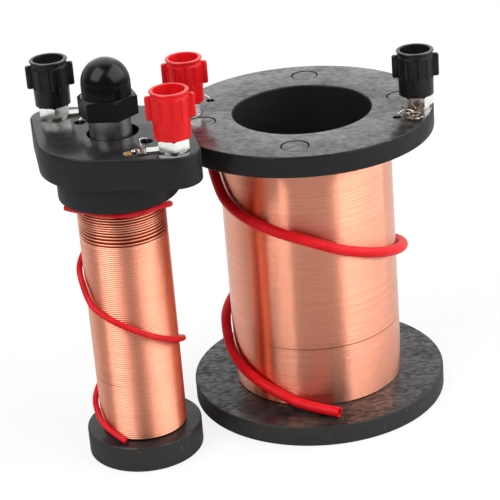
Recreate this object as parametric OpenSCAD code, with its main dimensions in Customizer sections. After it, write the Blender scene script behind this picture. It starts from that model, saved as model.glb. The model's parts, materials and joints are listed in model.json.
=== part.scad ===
// Primary and secondary coil pair with a removable soft-iron core, for showing induction in a classroom.
// The secondary stands on the origin, the smaller primary beside it, and the core stands in the primary.
// Lengths are in millimetres, angles in degrees, +Z is up and the table is at z = 0.

/* [Secondary coil] */
// Full height of the secondary
secondary_h = 77.2; // [60:0.1:110]
// Diameter of both of its flanges
secondary_flange_d = 65; // [62:0.1:90]
// Thickness of each flange
secondary_flange_t = 5.3; // [5:0.1:8]
// Bore that the primary goes into
secondary_bore_d = 34.3; // [31:0.1:36]
// Wall of the tube between the flanges
secondary_wall = 1.4; // [1:0.1:2]
// Diameter over the finished winding
secondary_winding_d = 43.2; // [41:0.1:46]
// Thickness of the outer layer, which is wound from much finer wire
secondary_layer_t = 0.5; // [0.3:0.05:0.8]
// Loops shown in the outer layer, each a band of that fine wire
secondary_loops = 8; // [3:1:9]
// Diameter of the ejector marks in the top face
mark_d = 6.4; // [5:0.1:9]
// Depth of the ejector marks
mark_depth = 0.1; // [0.1:0.05:0.4]
// Distance of the ejector marks from the bore axis
mark_reach = 25.4; // [23:0.1:27]

/* [Primary coil] */
// Full height of the primary
primary_h = 84; // [70:0.1:120]
// Thickness of the top plate
plate_t = 7.7; // [6:0.1:10]
// Diameter of the round middle of the top plate
plate_d = 36.2; // [34:0.1:40]
// Radius of the plate's two ears
ear_r = 6; // [5:0.1:7]
// Distance of each ear, and of its binding post, from the primary axis
ear_reach = 20.5; // [19:0.1:26]
// Direction of the ear that carries the red post
ear_angle = -45; // [-60:1:-30]
// Diameter of the collar under the plate
collar_d = 29; // [27:0.1:30.5]
// Depth of the collar under the plate
collar_h = 7.3; // [5:0.1:10]
// Diameter of the bottom flange
foot_d = 28.6; // [26:0.1:30.5]
// Thickness of the bottom flange
foot_t = 6.7; // [4:0.1:9]
// Bore that the core stands in
core_bore_d = 12.4; // [11.4:0.1:13]
// Wall of the tube that the winding is on
primary_wall = 1.3; // [1:0.1:1.8]
// Diameter over the finished winding
primary_winding_d = 21.3; // [19.5:0.1:22]
// Diameter of the enamelled wire
wire_d = 0.52; // [0.4:0.02:0.6]
// Loops shown in the packed part of the outer layer, each a band of that wire
packed_loops = 9; // [3:1:10]
// Height of the loosely wound stretch under the collar
loose_h = 9.9; // [8:0.1:12]
// Loops of the loosely wound stretch
loose_loops = 8; // [4:1:8]

/* [Where the primary stands] */
// Free gap between the primary's plate and the secondary's flange
stand_gap = 0.6; // [0.4:0.1:20]
// Direction from the secondary to the primary
stand_angle = 207.7; // [196:0.1:216]

/* [Binding posts] */
// Distance of the secondary's posts from its axis
post_reach = 28.4; // [27.5:0.1:29.5]
// Direction of the secondary's black post
post_angle = -8.2; // [-12:0.1:-6]
// Height of a knob
knob_h = 11.3; // [10:0.1:14]
// Diameter of a knob at its rim
knob_rim_d = 9.2; // [8.8:0.1:10]
// Diameter of a knob at its lower edge
knob_foot_d = 8.7; // [8.4:0.1:9.2]
// Bore down the middle of a knob
knob_bore_d = 7.3; // [7.1:0.1:7.5]
// Span over a knob's two wings
wing_span = 11.4; // [11:0.1:14]
// Width of a wing
wing_w = 1.4; // [1:0.1:2]
// Height of a wing
wing_h = 5.8; // [5:0.1:8]
// Drop from a knob's rim to the top of its wings and flutes
wing_drop = 1.2; // [0.8:0.1:2]
// Width of a flute in a knob's side
flute_d = 1; // [0.6:0.1:1.4]
// Depth of a flute
flute_depth = 0.3; // [0.1:0.05:0.4]
// Flutes between one wing and the next
flutes = 5; // [1:1:7]
// Height of the threaded insert in a knob
insert_h = 5; // [3:0.1:7]
// Diameter of the stud that a knob screws on
stud_d = 6; // [5.4:0.1:6.2]
// Drop from a knob's rim to the top of its stud
stud_drop = 3.2; // [2:0.1:5]
// Diameter of the plug socket in the stud
socket_d = 4; // [3.8:0.05:4.2]
// Depth of the plug socket
socket_depth = 7; // [5:0.1:7.5]
// Diameter of the stud's lower thread
shank_d = 4; // [3:0.1:4.4]
// Length of the lower thread in the flange
shank_in = 4.2; // [2.5:0.1:4.6]
// Width of a nut across its flats
nut_af = 7; // [6.6:0.1:8]
// Height of a nut
nut_h = 2.6; // [2:0.1:4]
// Thickness of a solder tag
tag_t = 0.5; // [0.3:0.05:0.8]
// Diameter of a tag's ring round the stud
tag_ring_d = 6.8; // [6.6:0.1:8.4]
// Distance from the stud to the eye of the tag
tag_reach = 7.4; // [6.5:0.1:8.2]
// Width of a tag's round end
tag_end_d = 3; // [2.4:0.1:3.6]
// Diameter of the eye in a tag
tag_eye_d = 1.6; // [1.2:0.1:2]

/* [Leads] */
// Diameter of a lead
lead_d = 0.5; // [0.3:0.05:0.7]
// Diameter of the secondary's wire holes
secondary_hole_d = 2.2; // [1.8:0.1:3]
// Distance of the secondary's wire holes from its axis
secondary_hole_reach = 25.2; // [24.5:0.1:26.5]
// Angle from a secondary post to its wire hole
secondary_hole_turn = -18.7; // [-20:0.1:-16]
// Diameter of the primary's wire holes
primary_hole_d = 3; // [2:0.1:3.2]
// Distance of the primary's wire holes from its axis
primary_hole_reach = 11.5; // [11.2:0.1:12]

/* [Red sleeves] */
// Outer diameter of the sleeve on the secondary
secondary_sleeve_d = 2.6; // [1.6:0.1:3]
// Outer diameter of the sleeve on the primary
primary_sleeve_d = 1.5; // [1.2:0.1:2.2]

/* [Core] */
// Diameter of the iron rod
core_d = 10; // [9:0.1:10.6]
// Bare rod between the plate and the cap
core_stub = 4.9; // [3:0.1:12]
// Width of the cap's hexagon across its flats
cap_af = 12.4; // [12:0.1:15]
// Height of the cap's hexagon
cap_hex_h = 4.9; // [4:0.1:8]
// Height of the cap's round neck
cap_neck_h = 3; // [2:0.1:6]
// Diameter of the cap's round neck
cap_neck_d = 11.6; // [10.5:0.1:11.8]
// Diameter of the threaded spigot on the rod
spigot_d = 6; // [4:0.1:7]
// Length of the threaded spigot
spigot_h = 7; // [4:0.1:7.6]

/* [Fits and edges] */
// Radial room between a thread, shank or insert and its hole
thread_fit = 0.05; // [0.02:0.01:0.1]
// Radial room between a flange and the tube that it is fitted on
seat_fit = 0.05; // [0.02:0.01:0.1]
// Radial room between a winding and what it is wound on
winding_fit = 0.05; // [0.02:0.01:0.1]
// Room between the lying or leaning pieces and what they lie on
rest_gap = 0.2; // [0.2:0.05:0.3]
// Gap between one loop and the next in a packed layer
loop_gap = 0.46; // [0.45:0.01:0.6]
// Chamfer on the edges of the flanges
edge = 0.5; // [0.2:0.1:0.8]
// Chamfer on the edges of a knob
knob_edge = 0.4; // [0.2:0.1:0.5]

/* [Hidden] */
$fn = 96;
// Rings in one loop of a winding or a sleeve
LOOP_RINGS = 24;
// Sides of the round section of a wound wire or sleeve
LOOP_SIDES = 6;
// Height of a packed band at its two ends
BAND_END = 1;
// Sides of a lead, and its rings between two points of its route
LEAD_SIDES = 8;
LEAD_STEPS = 2;
// Facets of the round corners of the top plate
PLATE_FN = 64;
// How far a cut runs past the face that it opens
CUT = 1;
// Slope of the chamfer on the corners of a hexagon
HEX_SLOPE = 30;
// How far a tag's strip is narrower than its round end, and the dome smaller than the cap's neck
STRIP_INSET = 0.2;
DOME_INSET = 0.1;
// Height of the arch that a lead makes over a top face
LEAD_ARCH = 1.7;

BLACK = [0.13, 0.13, 0.14];
RED = [0.80, 0.07, 0.09];
COPPER = [0.80, 0.47, 0.32];
NICKEL = [0.78, 0.78, 0.76];
BRASS = [0.78, 0.62, 0.30];
STEEL = [0.50, 0.51, 0.53];

function polar(r, a) = [r * cos(a), r * sin(a)];
function at_height(xy, z) = [xy[0], xy[1], z];
function unit(v) = v / norm(v);
// Radius of the corners of a hexagon with this width across its flats
function corner_r(af) = af / 2 / cos(30);
// Least radius of a chord of a loop whose rings lie at radius r
function chord_r(r) = r * cos(180 / LOOP_RINGS);

// Heights and radii that follow from the sizes above
secondary_under = secondary_h - secondary_flange_t;
secondary_tube_r = secondary_bore_d / 2 + secondary_wall;
secondary_winding_r = secondary_winding_d / 2;
primary_under = primary_h - plate_t - collar_h;
primary_tube_r = core_bore_d / 2 + primary_wall;
primary_winding_r = primary_winding_d / 2;
loose_start = primary_under - loose_h;
primary_pos = polar(secondary_flange_d / 2 + plate_d / 2 + stand_gap, stand_angle);
post_h = tag_t + nut_h;
core_top = primary_h + core_stub;

// The rod leans towards the front of its bore, just clear of the wall
LEAN_ANGLE = -112;
core_pos = primary_pos + polar((core_bore_d - core_d) / 2 - rest_gap, LEAN_ANGLE);
CAP_TURN = 50;

// Each post: its place, the height it stands on, the turns of its tag, nut and wings, its wire hole
secondary_tag_angle = post_angle - 94;
primary_tag_angle = ear_angle + 229;
SECONDARY_BLACK = [
    polar(post_reach, post_angle), secondary_h, secondary_tag_angle, 52, -3,
    polar(secondary_hole_reach, post_angle + secondary_hole_turn)
];
SECONDARY_RED = [
    -polar(post_reach, post_angle), secondary_h, secondary_tag_angle + 180, 20, 0,
    -polar(secondary_hole_reach, post_angle + secondary_hole_turn)
];
PRIMARY_RED = [
    primary_pos + polar(ear_reach, ear_angle), primary_h, primary_tag_angle, 33, 2,
    primary_pos + polar(primary_hole_reach, ear_angle)
];
PRIMARY_BLACK = [
    primary_pos - polar(ear_reach, ear_angle), primary_h, primary_tag_angle + 180, 37, 6,
    primary_pos - polar(primary_hole_reach, ear_angle)
];
function post_place(post) = at_height(post[0], post[1]);
function post_eye(post) = post[0] + polar(tag_reach, post[2]);
function post_hole(post) = post[5];
MARK_ANGLES = [8, 85, 188, 263];

// Routes of the sleeves: angle round the coil, share of the free height, distance off the winding
SECONDARY_SLEEVE_ROUTE = [
    [-195, 0.955, 0.2], [-180, 0.92, 0.1], [-166, 0.875, 0], [-155, 0.825, 0], [-140, 0.79, 0],
    [-97, 0.712, 0], [-71, 0.645, 0], [-36, 0.568, 0], [-5, 0.512, 0.3], [80, 0.37, 0],
    [160, 0.245, 0.1], [178, 0.215, 0.1], [190, 0.155, 0], [203, 0.118, 0], [228, 0.066, 0],
    [240, 0.04, 0], [251, 0.013, 0.15], [261, 0, 1.05], [272.5, 0, 3.9]
];
PRIMARY_SLEEVE_ROUTE = [
    [-152.5, 0.997, 1.3], [-140, 0.998, 0.35], [-128, 0.999, 0], [-100, 0.996, 0], [-76, 0.99, 0],
    [-47, 0.987, 0], [-31, 0.98, 0], [2, 0.941, 0], [90, 0.82, 0], [165, 0.715, 0],
    [185, 0.69, 0], [200, 0.655, 0], [211, 0.61, 0], [220, 0.582, 0], [236, 0.558, 0],
    [270, 0.502, 0], [310, 0.426, 0], [350, 0.365, 0], [440, 0.23, 0], [525, 0.115, 0],
    [545, 0.09, 0], [558, 0.073, 0], [566, 0.052, 0], [580, 0.033, 0], [592, 0.018, 0], [602, 0.004, 0.1]
];

// Tubes

// Closed skin of triangles over a row of rings, each ring a list of points in order round the tube
module skin(rings) {
    sides = len(rings[0]);
    last = (len(rings) - 1) * sides;
    wall = [
        for (i = [0 : len(rings) - 2], j = [0 : sides - 1])
            let (a = i * sides + j, b = i * sides + (j + 1) % sides)
                each [[a, b, b + sides], [a, b + sides, a + sides]]
    ];
    caps = [for (j = [1 : sides - 2]) each [[0, j + 1, j], [last, last + j, last + j + 1]]];
    polyhedron(points = [for (ring = rings) each ring], faces = concat(wall, caps));
}

// Section of a single round wire, as offsets outwards and upwards
function wire_section(d) = [for (j = [0 : LOOP_SIDES - 1]) polar(d / 2, 360 * j / LOOP_SIDES)];

// Section of a packed band, flat outside and inside, that stands for the turns lying side by side in it
function band_section(t, h) =
    let (shoulder = h / 2 - t / 2)
        [
            [t / 2, -shoulder], [t / 2, shoulder], [0, h / 2],
            [-t / 2, shoulder], [-t / 2, -shoulder], [0, -h / 2]
        ];

// One ring of a winding: a section set upright at an angle round the coil and a height
function upright_ring(section, r, a, z) = [for (s = section) at_height(polar(r + s[0], a), z + s[1])];

// Rings of a wire that falls from one height to another as it goes round anticlockwise
function wire_rings(r, d, z_from, z_to, a_from, loops) =
    let (
        count = loops * LOOP_RINGS,
        ring = function (i)
            upright_ring(wire_section(d), r, a_from + 360 * i / LOOP_RINGS,
                z_from + (z_to - z_from) * i / count)
    )
        with_straight_ends([for (i = [0 : count]) ring(i)], d);

// Rings of a band that falls between two faces, and narrows along each face where it starts and ends
function band_rings(r, t, z_low, z_high, loops) =
    let (
        pitch = (z_high - z_low - 2 * BAND_END - loop_gap) / (loops - 1),
        ring = function (i)
            let (
                edge_z = z_high - BAND_END - pitch * i / LOOP_RINGS,
                bottom = max(edge_z, z_low),
                top = min(edge_z + pitch - loop_gap, z_high)
            )
                upright_ring(band_section(t, top - bottom), r, 360 * i / LOOP_RINGS, (bottom + top) / 2)
    )
        with_straight_ends([for (i = [0 : loops * LOOP_RINGS]) ring(i)], t);

// The same rings with one more at each end, run straight on by a length
function with_straight_ends(rings, run) =
    let (
        n = len(rings) - 1,
        first = unit(rings[0][0] - rings[1][0]) * run,
        final = unit(rings[n][0] - rings[n - 1][0]) * run
    )
        concat([[for (p = rings[0]) p + first]], rings, [[for (p = rings[n]) p + final]]);

// Least distance between the points of one loop and those of its neighbours
function least_gap(rings) =
    min([
        for (i = [0 : len(rings) - 1 - LOOP_RINGS / 2])
            for (k = [i + LOOP_RINGS / 2 : min(i + LOOP_RINGS * 3 / 2, len(rings) - 1)])
                for (a = rings[i], b = rings[k]) norm(a - b)
    ]);

// Smooth value of one column of a route at an angle
function route_step(route, a, i = 0) =
    i >= len(route) - 2 || a < route[i + 1][0] ? i : route_step(route, a, i + 1);
function route_slope(route, i, column) =
    let (low = route[max(i - 1, 0)], high = route[min(i + 1, len(route) - 1)])
        (high[column] - low[column]) / (high[0] - low[0]);
function route_value(route, a, column) =
    let (
        i = route_step(route, a),
        width = route[i + 1][0] - route[i][0],
        t = (a - route[i][0]) / width,
        blend = t * t * (3 - 2 * t)
    )
        max(0, route[i][column] * (1 - blend) + route[i + 1][column] * blend
            + width * t * (1 - t) * ((1 - t) * route_slope(route, i, column)
                - t * route_slope(route, i + 1, column)));

// Middle of a sleeve at an angle of its route, between the faces of two flanges
function sleeve_middle(route, winding_r, d, z_from, z_to, a) =
    let (low = z_from + rest_gap + d / 2, high = z_to - rest_gap - d / 2)
        at_height(polar(winding_r + rest_gap + d / 2 + route_value(route, a, 2), a),
            low + (high - low) * route_value(route, a, 1));

// Rings of a sleeve laid round a winding along its route
function sleeve_rings(route, winding_r, d, z_from, z_to) =
    let (
        a_from = route[0][0],
        a_to = route[len(route) - 1][0],
        count = round((a_to - a_from) * LOOP_RINGS / 360),
        centre = function (a) sleeve_middle(route, winding_r, d, z_from, z_to, a),
        ring = function (a)
            let (
                along = unit(centre(min(a + 1, a_to)) - centre(max(a - 1, a_from))),
                out = at_height(polar(1, a), 0),
                side = unit(out - along * (out * along)),
                up = cross(along, side)
            )
                [for (s = wire_section(d)) centre(a) + side * s[0] + up * s[1]]
    )
        with_straight_ends([for (i = [0 : count]) ring(a_from + (a_to - a_from) * i / count)], d);

// Point of a smooth curve through a list of points, u counting along them
function curve_point(points, u) =
    let (
        last = len(points) - 1,
        i = min(floor(u), last - 1),
        t = u - i,
        p0 = points[max(i - 1, 0)],
        p1 = points[i],
        p2 = points[i + 1],
        p3 = points[min(i + 2, last)]
    )
        (2 * p1 + (p2 - p0) * t + (2 * p0 - 5 * p1 + 4 * p2 - p3) * t * t
            + (3 * p1 - p0 - 3 * p2 + p3) * t * t * t) / 2;

// Round tube along a curve, whose rings turn as little as they can about a direction across the route
module lead(points, across) {
    count = (len(points) - 1) * LEAD_STEPS;
    step = 1 / LEAD_STEPS;
    rings = [
        for (i = [0 : count])
            let (
                here = curve_point(points, i * step),
                along = unit(curve_point(points, min(i + 0.5, count) * step)
                    - curve_point(points, max(i - 0.5, 0) * step)),
                side = unit(across - along * (across * along)),
                up = cross(along, side)
            )
                [
                    for (j = [0 : LEAD_SIDES - 1])
                        let (s = polar(lead_d / 2, 360 * j / LEAD_SIDES)) here + side * s[0] + up * s[1]
                ]
    ];
    color(COPPER) skin(rings);
}

// Bobbins, each a tube with a flange fitted on either end

module coil_tube(pos, bore_d, wall, h) {
    color(BLACK) translate(at_height(pos, 0)) difference() {
        cylinder(d = bore_d + 2 * wall, h = h);
        translate([0, 0, -CUT]) cylinder(d = bore_d, h = h + 2 * CUT);
    }
}

// Round flange that fits on a tube, with its rims chamfered
module flange(pos, z, d, t, tube_r) {
    translate(at_height(pos, z)) rotate_extrude() polygon([
        [tube_r + seat_fit, 0], [d / 2 - edge, 0], [d / 2, edge],
        [d / 2, t - edge], [d / 2 - edge, t], [tube_r + seat_fit, t]
    ]);
}

module secondary_tube() { coil_tube([0, 0], secondary_bore_d, secondary_wall, secondary_h); }

module secondary_bottom_flange() {
    color(BLACK) flange([0, 0], 0, secondary_flange_d, secondary_flange_t, secondary_tube_r);
}

module secondary_top_flange() {
    color(BLACK) difference() {
        flange([0, 0], secondary_under, secondary_flange_d, secondary_flange_t, secondary_tube_r);
        for (post = [SECONDARY_RED, SECONDARY_BLACK]) {
            wire_hole(post, secondary_under, secondary_hole_d);
            shank_hole(post);
        }
        for (a = MARK_ANGLES)
            translate(at_height(polar(mark_reach, a), secondary_h - mark_depth))
                cylinder(d = mark_d, h = mark_depth + CUT);
    }
}

module primary_tube() { coil_tube(primary_pos, core_bore_d, primary_wall, primary_h); }

module primary_foot() { color(BLACK) flange(primary_pos, 0, foot_d, foot_t, primary_tube_r); }

// Eared top plate and the collar under it
module primary_head() {
    overlap = plate_t / 2;
    color(BLACK) difference() {
        union() {
            translate(at_height(primary_pos, primary_under)) rotate_extrude() polygon([
                [0, 0], [collar_d / 2 - edge, 0], [collar_d / 2, edge],
                [collar_d / 2, collar_h + overlap], [0, collar_h + overlap]
            ]);
            hull() {
                plate_disc(primary_pos, plate_d / 2);
                plate_disc(PRIMARY_RED[0], ear_r);
                plate_disc(PRIMARY_BLACK[0], ear_r);
            }
        }
        translate(at_height(primary_pos, primary_under - CUT))
            cylinder(r = primary_tube_r + seat_fit, h = primary_h - primary_under + 2 * CUT);
        for (post = [PRIMARY_RED, PRIMARY_BLACK]) {
            wire_hole(post, primary_under, primary_hole_d);
            shank_hole(post);
        }
    }
}

// One round corner of the top plate, with its upper and lower edges chamfered
module plate_disc(pos, r) {
    translate(at_height(pos, primary_h - plate_t)) rotate([0, 0, 180 / PLATE_FN]) {
        cylinder(r = r - edge, h = plate_t, $fn = PLATE_FN);
        translate([0, 0, edge]) cylinder(r = r, h = plate_t - 2 * edge, $fn = PLATE_FN);
    }
}

// Hole for a post's lead, right through the face that the post stands on
module wire_hole(post, under, d) {
    translate(at_height(post_hole(post), under - CUT)) cylinder(d = d, h = post[1] - under + 2 * CUT);
}

// Blind hole for the lower thread of a post's stud
module shank_hole(post) {
    translate(post_place(post) - [0, 0, shank_in + thread_fit])
        cylinder(r = shank_d / 2 + thread_fit, h = shank_in + thread_fit + CUT);
}

// Windings

// Plain inner layers of a winding, which carry an outer layer of this thickness
module inner_layers(pos, tube_r, winding_r, layer_t, z_from, z_to) {
    color(COPPER) translate(at_height(pos, z_from)) difference() {
        cylinder(r = chord_r(winding_r - layer_t) - winding_fit, h = z_to - z_from);
        translate([0, 0, -CUT]) cylinder(r = tube_r + winding_fit, h = z_to - z_from + 2 * CUT);
    }
}

// Packed outer layer between two faces
module packed_layer(pos, winding_r, layer_t, z_from, z_to, loops) {
    rings = band_rings(winding_r - layer_t / 2, layer_t, z_from + winding_fit, z_to - winding_fit, loops);
    echo(packed_layer_least_gap_mm = least_gap(rings));
    color(COPPER) translate(at_height(pos, 0)) skin(rings);
}

module secondary_inner_layers() {
    inner_layers([0, 0], secondary_tube_r, secondary_winding_r, secondary_layer_t,
        secondary_flange_t, secondary_under);
}

module secondary_outer_layer() {
    packed_layer([0, 0], secondary_winding_r, secondary_layer_t,
        secondary_flange_t, secondary_under, secondary_loops);
}

module primary_inner_layers() {
    inner_layers(primary_pos, primary_tube_r, primary_winding_r, wire_d, foot_t, primary_under);
}

module primary_packed_turns() {
    packed_layer(primary_pos, primary_winding_r, wire_d, foot_t, loose_start, packed_loops);
}

module primary_loose_turns() {
    rings = wire_rings(primary_winding_r - wire_d / 2, wire_d,
        primary_under - wire_d, loose_start + wire_d, ear_angle, loose_loops);
    echo(loose_turns_least_gap_mm = least_gap(rings));
    color(COPPER) translate(at_height(primary_pos, 0)) skin(rings);
}

// Sleeves over the return ends of the windings

module sleeve(pos, route, winding_r, d, z_from, z_to) {
    rings = sleeve_rings(route, winding_r, d, z_from, z_to);
    echo(sleeve_least_gap_mm = least_gap(rings));
    color(RED) translate(at_height(pos, 0)) skin(rings);
}

module secondary_sleeve() {
    sleeve([0, 0], SECONDARY_SLEEVE_ROUTE, secondary_winding_r, secondary_sleeve_d,
        secondary_flange_t, secondary_under);
}

module primary_sleeve() {
    sleeve(primary_pos, PRIMARY_SLEEVE_ROUTE, primary_winding_r, primary_sleeve_d, foot_t, primary_under);
}

// Leads, each from its winding or sleeve up through a wire hole to the eye of its tag

// Stretch of a lead from its wire hole to the eye of its tag, arched over the top face and bowed aside
function lead_over(post, bow) =
    let (hole = post_hole(post), eye = post_eye(post), top = post[1], middle = (hole + eye) / 2 + bow)
        [
            at_height(hole, top - LEAD_ARCH / 2),
            at_height(hole + (middle - hole) / 6, top + LEAD_ARCH / 2),
            at_height(middle, top + LEAD_ARCH),
            at_height(eye + (middle - eye) / 6, top + LEAD_ARCH * 3 / 4),
            at_height(eye, top + tag_t / 2)
        ];

// Stretch of a lead from places beside the winding up into its wire hole, which it enters clear of the rim
function lead_under(places, under, post) =
    let (
        hole = post_hole(post),
        from = places[len(places) - 1],
        beside = hole + ([from[0], from[1]] - hole) / 5
    )
        concat(places, [
            at_height(beside, (from[2] + under - lead_d) / 2),
            at_height(hole, under + lead_d), at_height(hole, under + LEAD_ARCH)
        ]);

// Place just past the straight upper end of a sleeve, where its lead comes out
function sleeve_mouth(route, winding_r, d, z_from, z_to) =
    let (
        end = sleeve_middle(route, winding_r, d, z_from, z_to, route[0][0]),
        inside = sleeve_middle(route, winding_r, d, z_from, z_to, route[0][0] + 1)
    )
        end + unit(end - inside) * (d + rest_gap);

// Place beside the top turn of a winding, where its end leaves it
function winding_end(pos, winding_r, under, a) =
    at_height(pos + polar(winding_r + lead_d, a), under - lead_d);

module secondary_black_lead() {
    start = winding_end([0, 0], secondary_winding_r, secondary_under, post_angle);
    lead(concat(lead_under([start], secondary_under, SECONDARY_BLACK), lead_over(SECONDARY_BLACK, [0, 0])),
        [-sin(post_angle), cos(post_angle), 0.1]);
}

module secondary_red_lead() {
    start = sleeve_mouth(SECONDARY_SLEEVE_ROUTE, secondary_winding_r, secondary_sleeve_d,
        secondary_flange_t, secondary_under);
    lead(concat(lead_under([start], secondary_under, SECONDARY_RED), lead_over(SECONDARY_RED, [0, 0])),
        [cos(post_angle), sin(post_angle), 0.1]);
}

module primary_red_lead() {
    start = winding_end(primary_pos, primary_winding_r, primary_under, ear_angle + 6);
    lead(concat(lead_under([start], primary_under, PRIMARY_RED), lead_over(PRIMARY_RED, [-1, 0])),
        [cos(ear_angle), sin(ear_angle), 0.1]);
}

module primary_black_lead() {
    start = at_height(primary_pos, 0)
        + sleeve_mouth(PRIMARY_SLEEVE_ROUTE, primary_winding_r, primary_sleeve_d, foot_t, primary_under);
    beside = at_height(primary_pos + polar(primary_winding_r + rest_gap + primary_sleeve_d, 180), start[2]);
    lead(concat(lead_under([start, beside], primary_under, PRIMARY_BLACK), lead_over(PRIMARY_BLACK, [1.5, -1])),
        [cos(ear_angle), sin(ear_angle), 0.1]);
}

// Binding posts, each stacked upwards from the face it stands on

// Stud with a plug socket in its top and a thinner thread below
module stud(post) {
    stud_top = post_h + knob_h - stud_drop;
    color(NICKEL) translate(post_place(post)) rotate_extrude() polygon([
        [0, -shank_in], [shank_d / 2, -shank_in], [shank_d / 2, post_h], [stud_d / 2, post_h],
        [stud_d / 2, stud_top], [socket_d / 2, stud_top],
        [socket_d / 2, stud_top - socket_depth], [0, stud_top - socket_depth]
    ]);
}

// Hexagonal prism whose corners are turned off at its top, and at its bottom too if both are asked for
module hexagon(af, h, turn, both) {
    drop = af / 2 * tan(HEX_SLOPE);
    intersection() {
        rotate([0, 0, turn]) cylinder(r = corner_r(af), h = h, $fn = 6);
        rotate_extrude() polygon([
            [0, 0], [both ? af / 2 : af, 0], [af, both ? drop : 0], [af, h - drop], [af / 2, h], [0, h]
        ]);
    }
}

module nut(post) {
    color(NICKEL) translate(post_place(post) + [0, 0, tag_t]) difference() {
        hexagon(nut_af, nut_h, post[3], true);
        translate([0, 0, -CUT]) cylinder(r = shank_d / 2 + thread_fit, h = nut_h + 2 * CUT);
    }
}

// Solder tag: a ring round the stud and a strip that ends in an eye
module tag(post) {
    strip_w = tag_end_d - STRIP_INSET;
    color(NICKEL) translate(post_place(post)) rotate([0, 0, post[2]]) difference() {
        union() {
            cylinder(d = tag_ring_d, h = tag_t);
            translate([0, -strip_w / 2, 0]) cube([tag_reach, strip_w, tag_t]);
            translate([tag_reach, 0, 0]) cylinder(d = tag_end_d, h = tag_t);
        }
        translate([0, 0, -CUT]) cylinder(r = shank_d / 2 + thread_fit, h = tag_t + 2 * CUT);
        translate([tag_reach, 0, -CUT]) cylinder(d = tag_eye_d, h = tag_t + 2 * CUT);
    }
}

module insert(post) {
    color(BRASS) translate(post_place(post) + [0, 0, post_h]) difference() {
        cylinder(r = knob_bore_d / 2 - thread_fit, h = insert_h);
        translate([0, 0, -CUT]) cylinder(r = stud_d / 2 + thread_fit, h = insert_h + 2 * CUT);
    }
}

// Knob with two wings, and flutes between them
module knob(post, colour) {
    foot_r = knob_foot_d / 2;
    rim_r = knob_rim_d / 2;
    bore_r = knob_bore_d / 2;
    wing_from = (bore_r + foot_r) / 2;
    wing_z = knob_h - wing_drop - wing_h;
    flute_step = 180 / (flutes + 1);
    color(colour) translate(post_place(post) + [0, 0, post_h]) rotate([0, 0, post[4]]) difference() {
        union() {
            rotate_extrude() polygon([
                [bore_r, 0], [foot_r - knob_edge, 0], [foot_r, knob_edge],
                [rim_r, knob_h - wing_drop], [rim_r - knob_edge, knob_h], [bore_r, knob_h]
            ]);
            for (a = [0, 180])
                rotate([0, 0, a]) translate([wing_from, -wing_w / 2, wing_z])
                    cube([wing_span / 2 - wing_from, wing_w, wing_h]);
        }
        for (a = [0, 180], i = [1 : flutes])
            rotate([0, 0, a + i * flute_step])
                translate([rim_r + flute_d / 2 - flute_depth, 0, wing_z]) cylinder(d = flute_d, h = wing_h);
    }
}

module secondary_red_stud() { stud(SECONDARY_RED); }
module secondary_red_nut() { nut(SECONDARY_RED); }
module secondary_red_tag() { tag(SECONDARY_RED); }
module secondary_red_insert() { insert(SECONDARY_RED); }
module secondary_red_knob() { knob(SECONDARY_RED, RED); }

module secondary_black_stud() { stud(SECONDARY_BLACK); }
module secondary_black_nut() { nut(SECONDARY_BLACK); }
module secondary_black_tag() { tag(SECONDARY_BLACK); }
module secondary_black_insert() { insert(SECONDARY_BLACK); }
module secondary_black_knob() { knob(SECONDARY_BLACK, BLACK); }

module primary_red_stud() { stud(PRIMARY_RED); }
module primary_red_nut() { nut(PRIMARY_RED); }
module primary_red_tag() { tag(PRIMARY_RED); }
module primary_red_insert() { insert(PRIMARY_RED); }
module primary_red_knob() { knob(PRIMARY_RED, RED); }

module primary_black_stud() { stud(PRIMARY_BLACK); }
module primary_black_nut() { nut(PRIMARY_BLACK); }
module primary_black_tag() { tag(PRIMARY_BLACK); }
module primary_black_insert() { insert(PRIMARY_BLACK); }
module primary_black_knob() { knob(PRIMARY_BLACK, BLACK); }

// Core

module core_rod() {
    color(STEEL) translate(at_height(core_pos, 0)) rotate_extrude() polygon([
        [0, 0], [core_d / 2, 0], [core_d / 2, core_top], [spigot_d / 2, core_top],
        [spigot_d / 2, core_top + spigot_h], [0, core_top + spigot_h]
    ]);
}

// Domed cap with a hexagonal foot, screwed on the rod
module core_cap() {
    neck_top = cap_hex_h + cap_neck_h;
    color(BLACK) translate(at_height(core_pos, core_top)) difference() {
        union() {
            hexagon(cap_af, cap_hex_h, CAP_TURN, false);
            cylinder(d = cap_neck_d, h = neck_top);
            translate([0, 0, neck_top]) sphere(d = cap_neck_d - DOME_INSET);
        }
        translate([0, 0, -CUT]) cylinder(r = spigot_d / 2 + thread_fit, h = spigot_h + thread_fit + CUT);
    }
}

secondary_tube();
secondary_top_flange();
secondary_bottom_flange();
secondary_inner_layers();
secondary_outer_layer();
secondary_sleeve();
secondary_red_lead();
secondary_black_lead();
secondary_red_stud();
secondary_red_nut();
secondary_red_tag();
secondary_red_insert();
secondary_red_knob();
secondary_black_stud();
secondary_black_nut();
secondary_black_tag();
secondary_black_insert();
secondary_black_knob();
primary_tube();
primary_head();
primary_foot();
primary_inner_layers();
primary_packed_turns();
primary_loose_turns();
primary_sleeve();
primary_red_lead();
primary_black_lead();
primary_red_stud();
primary_red_nut();
primary_red_tag();
primary_red_insert();
primary_red_knob();
primary_black_stud();
primary_black_nut();
primary_black_tag();
primary_black_insert();
primary_black_knob();
core_rod();
core_cap();
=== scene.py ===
"""Scene of a primary coil with a removable iron core, standing beside a larger secondary coil.

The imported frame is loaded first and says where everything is. The mouldings, windings, sleeves, leads and
binding posts are modelled on it in millimetres, and each is scaled to the frame's metres when it is finished.
"""
import json
from math import atan2, cos, pi, radians, sin, sqrt, tan, tau
from types import SimpleNamespace

import bmesh
import bpy
from mathutils import Matrix, Vector, noise


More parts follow.
